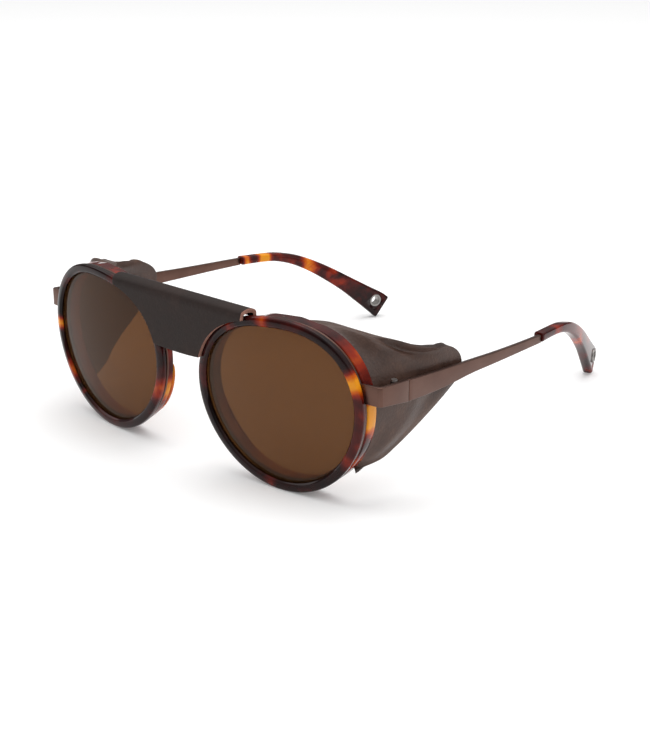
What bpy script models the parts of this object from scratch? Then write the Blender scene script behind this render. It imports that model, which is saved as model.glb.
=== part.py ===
"""Glacier glasses: round sunglasses with leather side shields and a leather bridge shield.

Everything is worked out in millimetres and scaled to metres when a mesh is finished.
While modelling, y is the depth behind the foremost leather face, x is the distance from the
middle towards the wearer's left, and z is the height above the table. A finished mesh is
moved forward by half the length, so that the origin is at the middle of the bottom of the box.
"""
import math

import bmesh
import bpy
from mathutils import Matrix, Vector

for thing in list(bpy.data.objects):
    bpy.data.objects.remove(thing, do_unlink=True)

MM = 0.001
LENGTH = 149.64
GAP = 0.3

# The eye: where each lens system stands and how it is turned.
EYE_CENTRE = Vector((36.55, 1.1, 26.09))
EYE_WRAP = math.radians(6.3)
EYE_TILT = math.radians(1.97)
BASE_CURVE = 112.0

# The rim outline: a circle with a few waves round it (turns, cosine part, sine part).
EYE_RADIUS = 26.99
EYE_WAVES = ((1, 0.12, 0.0), (2, 1.37, 0.04), (3, -0.24, 0.73), (4, -0.12, -0.06))
RIM_STEPS = 72

# Depths of the layers behind the front face, and the widths of the rings.
FRONT_THICK = 1.5
EYEWIRE_FRONT = 2.1
EYEWIRE_THICK = 0.6
REAR_FRONT = EYEWIRE_FRONT + EYEWIRE_THICK + GAP
REAR_BACK = 6.7
FACE_WIDTH = 2.83
LIP_DEPTH = 1.1
SEAT_INSET = 1.65
LENS_FRONT = LIP_DEPTH + GAP
LENS_THICK = 1.8
LENS_INSET = SEAT_INSET + GAP
REAR_WIDTH = 3.3
REAR_EDGE = 0.1
REAR_STEP_IN = 1.3
STEP_IN_MIDDLE = 160.0
TAB_HEIGHT = 1.1
TAB_HALF_ANGLE = 22.0
NOSE_BEVEL = 1.3
NOSE_ANGLE = 185.0
NOSE_SPREAD = 62.0
PAD_FIRST = math.radians(181.0)
PAD_LAST = math.radians(237.0)
PAD_HEIGHT = 1.1

# The hinges.
AXIS = Vector((66.0, 18.6, 0.0))
KNUCKLE_RADIUS = 1.1
BORE_RADIUS = 0.62
SCREW_RADIUS = 0.45
HINGE_BOTTOM = 31.1
HINGE_TOP = 35.9
LEAF_LENGTH = 6.0
LEAF_INNER = 66.3
LEAF_OUTER = 66.9

# The end pieces and the temples: outer face x, thickness, and the height of the strip.
STRIP_THICK = 1.2
END_PIECE_ANGLE = math.radians(17.5)
CORNER = Vector((68.9, 9.9, 0.0))
SEAM_Y = 21.8
TEMPLE_STATIONS = (
    # depth y, outer face x, top z, height of the strip
    (22.1, 68.5, 36.2, 6.2),
    (28.0, 68.2, 35.6, 6.0),
    (36.0, 67.8, 34.9, 5.6),
    (44.0, 67.5, 34.3, 4.9),
    (52.0, 67.1, 33.7, 4.1),
    (64.0, 66.6, 32.8, 3.4),
    (76.0, 66.0, 32.1, 2.9),
    (89.2, 65.1, 31.4, 2.5),
)
CORE_WIDTH = 1.2
CORE_HEIGHT = 1.6
CORE_END = 128.0

# The tip: its outer face in plan, and its top and bottom edges, which end in the slanted cut.
TIP_START = 89.5
TIP_THICK = 3.4
TIP_CORNER = 0.9
TIP_PLAN = (
    # depth y, outer face x
    (89.5, 65.7),
    (97.0, 64.4),
    (105.0, 63.0),
    (113.5, 60.9),
    (121.5, 58.4),
    (129.5, 55.5),
    (137.5, 52.4),
    (145.0, 49.5),
    (150.5, 47.4),
)
TIP_PROFILE = (
    # top y, top z, bottom y, bottom z
    (89.5, 32.0, 89.5, 29.0),
    (97.0, 31.5, 96.6, 28.7),
    (104.0, 30.9, 102.8, 28.1),
    (109.5, 29.8, 107.4, 27.0),
    (115.0, 28.1, 112.0, 25.3),
    (121.5, 25.1, 117.6, 22.4),
    (128.0, 21.5, 123.6, 18.5),
    (136.0, 16.5, 131.2, 12.8),
    (143.0, 12.1, 137.6, 7.0),
    (147.6, 9.3, 142.2, 2.7),
    (149.9, 7.4, 144.9, 0.1),
)
TIP_STEPS = 26
EYELET_CENTRE = Vector((48.3, 144.4, 6.7))
EYELET_AXIS = Vector((0.935, 0.355, 0.0))
EYELET_RADIUS = 2.4
EYELET_HOLE = 1.6
EYELET_LENGTH = 3.5

# The leather: where the free edge of a side shield runs, from the tab over the temple to the
# lower edge. Each line starts with the angle on the rim that it is joined to.
LEATHER_THICK = 1.2
SHIELD_INSET = 0.6
SHIELD_FRONT = REAR_BACK + GAP
SHIELD_EDGE = (
    (84.0, 39.4, 12.0, 49.2),
    (76.0, 44.0, 16.3, 48.7),
    (66.0, 50.0, 19.1, 47.3),
    (55.0, 57.3, 22.1, 45.9),
    (46.0, 61.4, 25.9, 44.7),
    (38.0, 64.0, 31.9, 42.1),
    (30.0, 65.0, 38.1, 40.5),
    (23.0, 64.7, 43.9, 39.4),
    (16.0, 64.8, 48.1, 36.8),
    (9.0, 65.0, 49.7, 33.4),
    (2.0, 65.0, 48.5, 29.4),
    (-5.0, 64.4, 43.9, 25.6),
    (-12.0, 63.6, 37.9, 21.6),
    (-19.0, 62.5, 30.9, 17.2),
    (-26.0, 61.1, 25.6, 13.6),
    (-33.0, 59.3, 21.1, 10.6),
    (-40.0, 57.0, 13.5, 9.3),
)
ROOF_ANGLE = 47.0
FLOOR_ANGLE = -24.0
FRONT_END = 14.65
TAIL_START = 18.9
TAIL_TOP_ANGLE = 35.0
TAIL_LOW_ANGLE = -16.0
RIVET_PLACE = Vector((64.2, 42.3, 32.2))

# The bridge shield is folded over the brow bar and laps a little over the front rims.
BRIDGE_THICK = 1.0
BRIDGE_OVERLAP = 0.8
BRIDGE_LOW_ANGLE = 163.0
BRIDGE_TOP_ANGLE = 113.0
FOLD_START = 50.1
FOLD_DEPTH = 6.0
FOLD_HEIGHT = 1.7
FOLD_TURN = math.radians(150.0)
BROW_PLACE = Vector((0.0, FOLD_DEPTH / 2.0, 49.5))
BROW_HALF_LENGTH = 20.5
BROW_RADIUS = 0.8


def smooth_step(value):
    value = min(1.0, max(0.0, value))
    return value * value * (3.0 - 2.0 * value)


def outline_radius(angle):
    return EYE_RADIUS + sum(across * math.cos(turns * angle) + up * math.sin(turns * angle)
                            for turns, across, up in EYE_WAVES)


def eye_point(across, up, depth):
    """A point given in the eye's own directions, on a shell of the base curve."""
    along = depth + 0.5 * (across * across + up * up) / BASE_CURVE
    x = across * math.cos(EYE_WRAP) - along * math.sin(EYE_WRAP)
    y = across * math.sin(EYE_WRAP) + along * math.cos(EYE_WRAP)
    z = up * math.cos(EYE_TILT) + y * math.sin(EYE_TILT)
    y = -up * math.sin(EYE_TILT) + y * math.cos(EYE_TILT)
    return EYE_CENTRE + Vector((x, y, z))


def rim_point(angle, offset, depth):
    """A point beside the rim outline: offset is outward, depth is behind the front face."""
    radius = outline_radius(angle) + offset
    return eye_point(radius * math.cos(angle), radius * math.sin(angle), depth)


def make_material(name, colour, roughness, metallic, alpha=1.0):
    material = bpy.data.materials.new(name)
    material.use_nodes = True
    shader = material.node_tree.nodes["Principled BSDF"]
    shader.inputs["Base Color"].default_value = (*colour, 1.0)
    shader.inputs["Roughness"].default_value = roughness
    shader.inputs["Metallic"].default_value = metallic
    shader.inputs["Alpha"].default_value = alpha
    return material


FINISHES = {
    "tortoise_front": ((0.055, 0.012, 0.010), 0.12, 0.0),
    "tortoise_rear": ((0.28, 0.055, 0.015), 0.12, 0.0),
    "tortoise_tip": ((0.10, 0.020, 0.012), 0.12, 0.0),
    "bronze": ((0.13, 0.075, 0.058), 0.38, 0.9),
    "bronze_dark": ((0.07, 0.045, 0.038), 0.40, 0.9),
    "leather": ((0.060, 0.040, 0.034), 0.55, 0.0),
    "lens": ((0.085, 0.047, 0.024), 0.05, 0.0, 0.85),
    "steel": ((0.45, 0.43, 0.41), 0.28, 1.0),
}


def parent_empty(name, side):
    empty = bpy.data.objects.new(name, None)
    bpy.context.collection.objects.link(empty)
    empty.location = Vector((side * AXIS.x, AXIS.y - LENGTH / 2.0, 0.0)) * MM
    return empty


HINGES = {1: parent_empty("temple_left_axis", 1), -1: parent_empty("temple_right_axis", -1)}


def finish(name, bm, finish_name, side=1, moving=False, guide=False):
    """Mirrors a left-hand mesh for the right, moves it into place and links its object."""
    for vertex in bm.verts:
        vertex.co.x *= side
    bmesh.ops.recalc_face_normals(bm, faces=bm.faces)
    if bm.calc_volume(signed=True) < 0.0:
        bmesh.ops.reverse_faces(bm, faces=bm.faces)
    for vertex in bm.verts:
        vertex.co.y -= LENGTH / 2.0
        vertex.co *= MM
    mesh = bpy.data.meshes.new(name)
    bm.to_mesh(mesh)
    bm.free()
    mesh.shade_smooth()
    mesh.set_sharp_from_angle(angle=math.radians(35.0))
    thing = bpy.data.objects.new(name, mesh)
    bpy.context.collection.objects.link(thing)
    if guide:
        thing.hide_render = True
        thing.display_type = "WIRE"
        return thing
    material = make_material(name, *FINISHES[finish_name])
    mesh.materials.append(material)
    if moving:
        mesh.transform(Matrix.Translation(-HINGES[side].location))
        thing.parent = HINGES[side]
    return thing


def skin(bm, rings, wrap=False):
    """Joins rings of points with quads, and closes the two ends unless the rings wrap round."""
    rows = [[bm.verts.new(point) for point in ring] for ring in rings]
    pairs = list(zip(rows, rows[1:]))
    if wrap:
        pairs.append((rows[-1], rows[0]))
    for row, other in pairs:
        for index in range(len(row)):
            following = (index + 1) % len(row)
            bm.faces.new((row[index], row[following], other[following], other[index]))
    if not wrap:
        bm.faces.new(rows[0])
        bm.faces.new(list(reversed(rows[-1])))
    return bm


def prism(bm, outline, bottom, top):
    """An upright prism on a plan outline of (x, y) points."""
    low = [Vector((x, y, bottom)) for x, y in outline]
    high = [Vector((x, y, top)) for x, y in outline]
    return skin(bm, [low, high])


def turned(bm, start, direction, profile, segments=20):
    """A turned solid: profile is (distance along the axis, radius) from one end to the other."""
    frame = direction.to_track_quat("Z", "Y").to_matrix()
    rings = []
    for distance, radius in profile:
        ring = []
        for step in range(segments):
            turn = 2.0 * math.pi * step / segments
            spot = Vector((radius * math.cos(turn), radius * math.sin(turn), distance))
            ring.append(start + frame @ spot)
        rings.append(ring)
    return skin(bm, rings)


def tube_between(bm, start, end, radius, segments=16):
    """A solid cylinder from start to end."""
    direction = end - start
    turn = direction.to_track_quat("Z", "Y").to_matrix().to_4x4()
    place = Matrix.Translation((start + end) / 2.0) @ turn
    bmesh.ops.create_cone(bm, cap_ends=True, segments=segments, radius1=radius, radius2=radius,
                          depth=direction.length, matrix=place)
    return bm


def cut(thing, cutter):
    modifier = thing.modifiers.new("cut_" + cutter.name, "BOOLEAN")
    modifier.operation = "DIFFERENCE"
    modifier.solver = "EXACT"
    modifier.object = cutter


def smooth_curve(knots, value):
    """A Catmull-Rom curve through rows of numbers, whose first column rises or falls."""
    falling = knots[0][0] > knots[-1][0]
    rows = list(reversed(knots)) if falling else list(knots)
    value = min(max(value, rows[0][0]), rows[-1][0])
    index = 0
    while index < len(rows) - 2 and rows[index + 1][0] < value:
        index += 1
    before = rows[max(index - 1, 0)]
    start = rows[index]
    end = rows[index + 1]
    after = rows[min(index + 2, len(rows) - 1)]
    span = end[0] - start[0]
    part = (value - start[0]) / span
    result = []
    for column in range(1, len(start)):
        slope_in = (end[column] - before[column]) / (end[0] - before[0]) * span
        slope_out = (after[column] - start[column]) / (after[0] - start[0]) * span
        cube = part ** 3
        square = part ** 2
        result.append((2 * cube - 3 * square + 1) * start[column]
                      + (cube - 2 * square + part) * slope_in
                      + (3 * square - 2 * cube) * end[column]
                      + (cube - square) * slope_out)
    return result


# Rims, eyewires, lenses and nose pads.

def ring_solid(section_at):
    """A ring round the eye whose section, as (offset, depth) points, may change with the angle."""
    rings = []
    for step in range(RIM_STEPS):
        angle = 2.0 * math.pi * step / RIM_STEPS
        rings.append([rim_point(angle, offset, depth) for offset, depth in section_at(angle)])
    return skin(bmesh.new(), rings, wrap=True)


def front_section(angle):
    bevel = 0.3
    step_width = 0.75
    return ((-bevel, 0.0), (0.0, bevel), (0.0, FRONT_THICK - 0.15), (-0.15, FRONT_THICK),
            (-SEAT_INSET + step_width, FRONT_THICK),
            (-SEAT_INSET + step_width, EYEWIRE_FRONT - GAP), (-SEAT_INSET, EYEWIRE_FRONT - GAP),
            (-SEAT_INSET, LIP_DEPTH), (-FACE_WIDTH, LIP_DEPTH), (-FACE_WIDTH + 0.15, 0.7),
            (-FACE_WIDTH + 0.75, 0.05))


def eyewire_section(angle):
    back = EYEWIRE_FRONT + EYEWIRE_THICK
    return ((-0.35, EYEWIRE_FRONT), (-0.35, back), (-SEAT_INSET, back),
            (-SEAT_INSET, EYEWIRE_FRONT))


def degrees_apart(angle, degrees):
    return abs((math.degrees(angle) - degrees + 180.0) % 360.0 - 180.0)


def rear_edge(angle):
    """How far the rear rim stays inside the outline: more on top and beside the nose."""
    share = smooth_step((115.0 - degrees_apart(angle, STEP_IN_MIDDLE)) / 45.0)
    return REAR_EDGE + REAR_STEP_IN * share


def tab_rise(angle):
    distance = degrees_apart(angle, 90.0)
    return TAB_HEIGHT * smooth_step((TAB_HALF_ANGLE - distance) / 12.0)


def nose_bevel(angle):
    distance = degrees_apart(angle, NOSE_ANGLE)
    return 0.35 + NOSE_BEVEL * smooth_step(1.0 - distance / NOSE_SPREAD)


def rear_section(angle):
    edge = tab_rise(angle) - rear_edge(angle)
    bevel = nose_bevel(angle)
    seat_depth = LENS_FRONT + LENS_THICK + GAP
    return ((max(edge - 0.25, -SEAT_INSET + 0.1), REAR_FRONT), (edge, REAR_FRONT + 0.25),
            (edge, REAR_BACK - bevel), (edge - bevel, REAR_BACK),
            (-REAR_WIDTH, REAR_BACK), (-REAR_WIDTH, seat_depth), (-SEAT_INSET, seat_depth),
            (-SEAT_INSET, REAR_FRONT))


def lens_solid():
    bm = bmesh.new()
    fractions = (1.0, 0.8, 0.6, 0.4, 0.2)
    front_rows = []
    back_rows = []
    for fraction in fractions:
        front = []
        back = []
        for step in range(RIM_STEPS):
            angle = 2.0 * math.pi * step / RIM_STEPS
            radius = (outline_radius(angle) - LENS_INSET) * fraction
            across = radius * math.cos(angle)
            up = radius * math.sin(angle)
            front.append(bm.verts.new(eye_point(across, up, LENS_FRONT)))
            back.append(bm.verts.new(eye_point(across, up, LENS_FRONT + LENS_THICK)))
        front_rows.append(front)
        back_rows.append(back)
    rows = list(reversed(front_rows)) + back_rows
    for row, other in zip(rows, rows[1:]):
        for step in range(RIM_STEPS):
            following = (step + 1) % RIM_STEPS
            bm.faces.new((row[step], row[following], other[following], other[step]))
    for row, depth in ((rows[0], LENS_FRONT), (rows[-1], LENS_FRONT + LENS_THICK)):
        middle = bm.verts.new(eye_point(0.0, 0.0, depth))
        for step in range(RIM_STEPS):
            bm.faces.new((row[step], row[(step + 1) % RIM_STEPS], middle))
    return bm


def nose_pad_solid():
    """A bean bonded to the back and the bevel of the rear rim on the nose side."""
    steps = 14
    sides = 9
    rings = []
    for step in range(steps + 1):
        part = step / steps
        angle = PAD_FIRST + (PAD_LAST - PAD_FIRST) * part
        swell = math.sin(math.pi * (0.06 + 0.88 * part)) ** 0.6
        bevel = nose_bevel(angle)
        edge = -rear_edge(angle)
        shift = GAP * math.sqrt(0.5)
        inner = Vector((-REAR_WIDTH - 0.3, REAR_BACK + GAP))
        corner = Vector((edge - bevel + 0.4 * GAP, REAR_BACK + GAP))
        outer = Vector((edge - 0.2 * bevel + shift, REAR_BACK - 0.8 * bevel + shift))
        chord = outer - inner
        outward = Vector((-chord.y, chord.x)).normalized()
        ring = [rim_point(angle, corner.x, corner.y)]
        for side in range(sides):
            turn = math.pi * side / (sides - 1)
            spot = inner + chord * (0.5 - 0.5 * math.cos(turn))
            spot += outward * PAD_HEIGHT * swell * math.sin(turn)
            ring.append(rim_point(angle, spot.x, spot.y))
        rings.append(ring)
    return skin(bmesh.new(), rings)


def build_eye(side, label):
    finish("front_rim_" + label, ring_solid(front_section), "tortoise_front", side)
    finish("eyewire_" + label, ring_solid(eyewire_section), "bronze", side)
    rear = finish("rear_rim_" + label, ring_solid(rear_section), "tortoise_rear", side)
    finish("lens_" + label, lens_solid(), "lens", side)
    finish("nose_pad_" + label, nose_pad_solid(), "tortoise_rear", side)

    tab_angle = math.pi / 2.0
    tab_top = rim_point(tab_angle, TAB_HEIGHT - rear_edge(tab_angle), (REAR_FRONT + REAR_BACK) / 2.0)
    hole = bmesh.new()
    tube_between(hole, tab_top + Vector((0.0, 0.0, -2.0)), tab_top + Vector((0.0, 0.0, 1.0)), 0.8)
    cut(rear, finish("tab_hole_" + label, hole, None, side, guide=True))
    screw = bmesh.new()
    tube_between(screw, tab_top + Vector((0.0, 0.0, -1.7)), tab_top + Vector((0.0, 0.0, -0.25)), 0.5)
    finish("shield_screw_" + label, screw, "steel", side)


# The metal between the eyes and the leather that is folded over it.

def build_bridge():
    bar_angle = math.radians(148.0)
    end = rim_point(bar_angle, -0.35 + GAP, EYEWIRE_FRONT + EYEWIRE_THICK / 2.0)
    bar = bmesh.new()
    rings = []
    steps = 12
    for step in range(steps + 1):
        part = 2.0 * step / steps - 1.0
        x = part * (end.x - 0.45)
        arch = 1.0 - part * part
        ring = []
        for width, high in ((-0.5, -1.3), (0.5, -1.3), (0.5, 1.3), (-0.5, 1.3)):
            ring.append(Vector((x, end.y + width, end.z + high + 1.0 * arch)))
        rings.append(ring)
    finish("bridge_bar", skin(bar, rings), "bronze")

    half = Vector((BROW_HALF_LENGTH, 0.0, 0.0))
    brow = tube_between(bmesh.new(), BROW_PLACE - half, BROW_PLACE + half, BROW_RADIUS, 12)
    finish("brow_bar", brow, "bronze_dark")


def bridge_profile():
    """Rows of (half width, y, z) from the lower edge up the front, over the fold and down."""
    rows = []
    steps = 12
    for step in range(steps + 1):
        share = step / steps
        angle = math.radians(BRIDGE_LOW_ANGLE + (BRIDGE_TOP_ANGLE - BRIDGE_LOW_ANGLE) * share)
        edge = rim_point(angle, -BRIDGE_OVERLAP, 0.0)
        rows.append((edge.x, 0.0, edge.z))
    half_width = rows[-1][0]
    arc_steps = 8
    for step in range(arc_steps + 1):
        turn = FOLD_TURN * step / arc_steps
        y = FOLD_DEPTH / 2.0 * (1.0 - math.cos(turn))
        z = FOLD_START + FOLD_HEIGHT * math.sin(turn)
        rows.append((half_width + 0.5 * math.sin(turn / 2.0), y, z))
    return rows


def sheet(rows):
    """An open sheet of quads through rows of points."""
    bm = bmesh.new()
    grid = [[bm.verts.new(point) for point in row] for row in rows]
    for row, other in zip(grid, grid[1:]):
        for step in range(len(row) - 1):
            bm.faces.new((row[step], row[step + 1], other[step + 1], other[step]))
    return bm


def build_bridge_shield():
    across = 16
    rows = []
    for half, y, z in bridge_profile():
        rows.append([Vector((half * (2.0 * step / across - 1.0), y, z))
                     for step in range(across + 1)])
    shield = finish("bridge_shield", sheet(rows), "leather")
    add_thickness(shield, BRIDGE_THICK, Vector((0.0, -1.0, 0.0)), 0)


def add_thickness(thing, thickness, outward, sample):
    """Turns the sheet so that its sample face looks outward, and thickens it inward."""
    if thing.data.polygons[sample].normal.dot(outward) < 0.0:
        thing.data.flip_normals()
    modifier = thing.modifiers.new("thickness", "SOLIDIFY")
    modifier.thickness = thickness * MM
    modifier.offset = -1.0
    modifier.use_even_offset = True


# The side shields: a sheet between the back of the rim and its free edge.

def shield_point(angle_degrees, part):
    """A point on the leather's outer face, from the rim (0) to the free edge (1)."""
    angle = math.radians(angle_degrees)
    start = rim_point(angle, -SHIELD_INSET - rear_edge(angle), SHIELD_FRONT)
    x, y, z = smooth_curve(SHIELD_EDGE, angle_degrees)
    edge = Vector((x, y, z))
    outward = Vector((math.cos(angle), 0.0, math.sin(angle)))
    swell = 0.10 * (edge - start).length * part * (1.0 - part)
    return start + (edge - start) * part + outward * swell


def part_at_depth(angle_degrees, depth):
    """How far along the leather a given depth y is reached."""
    low = 0.0
    high = 1.0
    for _ in range(24):
        middle = (low + high) / 2.0
        if shield_point(angle_degrees, middle).y < depth:
            low = middle
        else:
            high = middle
    return high


def spread(first, last, steps):
    return [first + (last - first) * step / steps for step in range(steps + 1)]


def shield_sheet(name, side, spans, outward, moving=False):
    """Leather between two parts of each line; spans holds (angle, first part, last part)."""
    rows = []
    for angle, first, last in spans:
        rows.append([shield_point(angle, part) for part in spread(first, last, 5)])
    leather = finish(name, sheet(rows), "leather", side, moving)
    outward = Vector((side * outward.x, outward.y, outward.z))
    add_thickness(leather, LEATHER_THICK, outward, len(leather.data.polygons) // 2)
    return leather


def build_side_shield(side, label):
    """One leather piece, in two solids that stay clear of each other as the temple folds."""
    top = SHIELD_EDGE[0][0] - 2.0
    low = SHIELD_EDGE[-1][0] + 2.0
    spans = [(angle, 0.0, 1.0) for angle in spread(top, ROOF_ANGLE, 10)]
    for angle in spread(ROOF_ANGLE - 2.0, FLOOR_ANGLE + 2.0, 16):
        spans.append((angle, 0.0, part_at_depth(angle, FRONT_END)))
    spans += [(angle, 0.0, 1.0) for angle in spread(FLOOR_ANGLE, low, 5)]
    sideways = Vector((1.0, 0.0, 0.0))
    shield_sheet("side_shield_" + label, side, spans, sideways)

    tail_spans = []
    for angle in spread(TAIL_TOP_ANGLE, TAIL_LOW_ANGLE, 16):
        tail_spans.append((angle, part_at_depth(angle, TAIL_START), 1.0))
    tail = shield_sheet("shield_tail_" + label, side, tail_spans, sideways, moving=True)

    reach = Vector((3.0, 0.0, 0.0))
    hole = tube_between(bmesh.new(), RIVET_PLACE - reach, RIVET_PLACE + reach, 1.2)
    cut(tail, finish("rivet_hole_" + label, hole, None, side, guide=True))
    rivet = turned(bmesh.new(), RIVET_PLACE, Vector((1.0, 0.0, 0.0)),
                   ((-2.2, 1.6), (-1.7, 1.8), (-1.6, 1.8), (-1.6, 0.8), (1.8, 0.8)))
    finish("shield_rivet_" + label, rivet, "steel", side, moving=True)


# The end pieces, hinges and temples.

def build_end_piece(side, label):
    """A bent strip: it starts beside the eyewire and runs to the hinge seam."""
    start = rim_point(END_PIECE_ANGLE, 0.0, EYEWIRE_FRONT + EYEWIRE_THICK / 2.0)
    seam_x = TEMPLE_STATIONS[0][1] + 0.1
    thick = STRIP_THICK
    plan = [(start.x, start.y - 0.4), (CORNER.x - 0.7, CORNER.y - 0.35),
            (CORNER.x - 0.1, CORNER.y + 0.1), (CORNER.x, CORNER.y + 0.8), (seam_x, SEAM_Y),
            (seam_x - thick, SEAM_Y), (CORNER.x - thick, CORNER.y + 1.5),
            (CORNER.x - thick - 0.35, CORNER.y + 0.95), (start.x, start.y + 0.4)]
    bm = prism(bmesh.new(), plan, -1.0, 1.0)
    for vertex in bm.verts:
        along = max(0.0, (vertex.co.y - CORNER.y) / (SEAM_Y - CORNER.y))
        half_height = 2.7 + 0.45 * along
        rise = half_height * vertex.co.z
        if vertex.co.x < start.x + 0.1:
            vertex.co.x -= rise * math.tan(END_PIECE_ANGLE)
        vertex.co.z = 34.4 - 1.25 * along + rise
    finish("end_piece_" + label, bm, "bronze", side)


def hinge_outline(direction):
    """Plan of a leaf and its barrel; direction is -1 towards the front and 1 to the rear."""
    sides = 20
    end_y = AXIS.y + direction * LEAF_LENGTH
    outer_turn = math.acos((LEAF_OUTER - AXIS.x) / KNUCKLE_RADIUS)
    inner_turn = math.acos((LEAF_INNER - AXIS.x) / KNUCKLE_RADIUS)
    sweep = 2.0 * math.pi - (inner_turn - outer_turn)
    points = [(LEAF_INNER, end_y), (LEAF_OUTER, end_y)]
    for step in range(sides + 1):
        turn = outer_turn - sweep * step / sides
        points.append((AXIS.x + KNUCKLE_RADIUS * math.cos(turn),
                       AXIS.y + direction * KNUCKLE_RADIUS * math.sin(turn)))
    return points


def build_hinge(side, label):
    third = (HINGE_TOP - HINGE_BOTTOM - 2.0 * GAP) / 3.0
    heights = (HINGE_BOTTOM, HINGE_BOTTOM + third, HINGE_BOTTOM + third + GAP,
               HINGE_TOP - third - GAP, HINGE_TOP - third, HINGE_TOP)
    clear = KNUCKLE_RADIUS + GAP
    bore = bmesh.new()
    tube_between(bore, AXIS + Vector((0.0, 0.0, HINGE_BOTTOM - 2.0)),
                 AXIS + Vector((0.0, 0.0, HINGE_TOP + 2.0)), BORE_RADIUS, 20)
    bore_guide = finish("hinge_bore_" + label, bore, None, side, guide=True)

    front = bmesh.new()
    prism(front, hinge_outline(-1), heights[0], heights[5])
    front_leaf = finish("hinge_front_" + label, front, "bronze_dark", side)
    slot = bmesh.new()
    box_outline = [(AXIS.x - 3.0, AXIS.y - clear), (AXIS.x + 3.0, AXIS.y - clear),
                   (AXIS.x + 3.0, AXIS.y + 3.0), (AXIS.x - 3.0, AXIS.y + 3.0)]
    prism(slot, box_outline, heights[1], heights[4])
    cut(front_leaf, finish("hinge_slot_" + label, slot, None, side, guide=True))
    cut(front_leaf, bore_guide)

    rear = bmesh.new()
    prism(rear, hinge_outline(1), heights[0], heights[5])
    rear_leaf = finish("hinge_rear_" + label, rear, "bronze_dark", side, moving=True)
    ends = bmesh.new()
    end_outline = [(AXIS.x - 3.0, AXIS.y - 3.0), (AXIS.x + 3.0, AXIS.y - 3.0),
                   (AXIS.x + 3.0, AXIS.y + clear), (AXIS.x - 3.0, AXIS.y + clear)]
    prism(ends, end_outline, heights[0] - 1.0, heights[2])
    prism(ends, end_outline, heights[3], heights[5] + 1.0)
    cut(rear_leaf, finish("hinge_ends_" + label, ends, None, side, guide=True))
    cut(rear_leaf, bore_guide)

    foot = HINGE_BOTTOM - 0.2
    neck = HINGE_TOP + GAP
    screw = turned(bmesh.new(), AXIS, Vector((0.0, 0.0, 1.0)),
                   ((foot, SCREW_RADIUS), (neck, SCREW_RADIUS), (neck, KNUCKLE_RADIUS - 0.1),
                    (neck + 0.5, KNUCKLE_RADIUS - 0.25)))
    finish("hinge_screw_" + label, screw, "steel", side)


def strip_section(top, bottom, top_lean, bottom_lean, thickness, corner):
    """A strip's section between the outer face's top and bottom points, its corners cut.

    Each lean is how far the outer face is turned inwards there."""
    across_top = Vector((math.cos(top_lean), math.sin(top_lean), 0.0))
    across_bottom = Vector((math.cos(bottom_lean), math.sin(bottom_lean), 0.0))
    upright = (top - bottom).normalized()
    inner_top = top - across_top * thickness
    inner_bottom = bottom - across_bottom * thickness
    return [top - across_top * corner, top - upright * corner,
            bottom + upright * corner, bottom - across_bottom * corner,
            inner_bottom + across_bottom * corner, inner_bottom + upright * corner,
            inner_top - upright * corner, inner_top + across_top * corner]


def tip_plan(y):
    """The outer face's x at depth y, and how far the face is turned inwards."""
    x = smooth_curve(TIP_PLAN, y)[0]
    ahead = smooth_curve(TIP_PLAN, y - 1.0)[0]
    behind = smooth_curve(TIP_PLAN, y + 1.0)[0]
    return x, math.atan2(ahead - behind, 2.0)


def tip_edges(part):
    """The outer face's top and bottom points, from the tip's start (0) to its end (1)."""
    last = len(TIP_PROFILE) - 1
    numbered = [(index / last, *station) for index, station in enumerate(TIP_PROFILE)]
    top_y, top_z, bottom_y, bottom_z = smooth_curve(numbered, part)
    return (Vector((tip_plan(top_y)[0], top_y, top_z)),
            Vector((tip_plan(bottom_y)[0], bottom_y, bottom_z)))


def tip_section(part):
    top, bottom = tip_edges(part)
    return strip_section(top, bottom, tip_plan(top.y)[1], tip_plan(bottom.y)[1],
                         TIP_THICK, TIP_CORNER)


def core_section(part, growth):
    """The core wire's section, or its bore's when it is grown by a clearance."""
    top, bottom = tip_edges(part)
    middle = (top + bottom) / 2.0
    lean = tip_plan(middle.y)[1]
    across = Vector((math.cos(lean), math.sin(lean), 0.0))
    face = middle - across * ((TIP_THICK - CORE_WIDTH) / 2.0 - growth)
    half = (top - bottom).normalized() * (CORE_HEIGHT / 2.0 + growth)
    return strip_section(face + half, face - half, lean, lean, CORE_WIDTH + 2.0 * growth, 0.2)


def core_share(station):
    """How far along the tip the core wire is at a step from 0 to 1."""
    return station * (CORE_END - TIP_START) / (TIP_PROFILE[-1][0] - TIP_START)


def build_temple(side, label):
    first_y = TEMPLE_STATIONS[0][0]
    last_y = TEMPLE_STATIONS[-1][0]
    steps = 16
    core_steps = 12
    rings = []
    for step in range(steps + 1):
        y = first_y + (last_y - first_y) * step / steps
        outer_x, top, height = smooth_curve(TEMPLE_STATIONS, y)
        rings.append(strip_section(Vector((outer_x, y, top)), Vector((outer_x, y, top - height)),
                                   0.0, 0.0, STRIP_THICK, 0.2))
    for step in range(core_steps + 1):
        rings.append(core_section(core_share(step / core_steps), 0.0))
    finish("temple_" + label, skin(bmesh.new(), rings), "bronze", side, moving=True)


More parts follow.
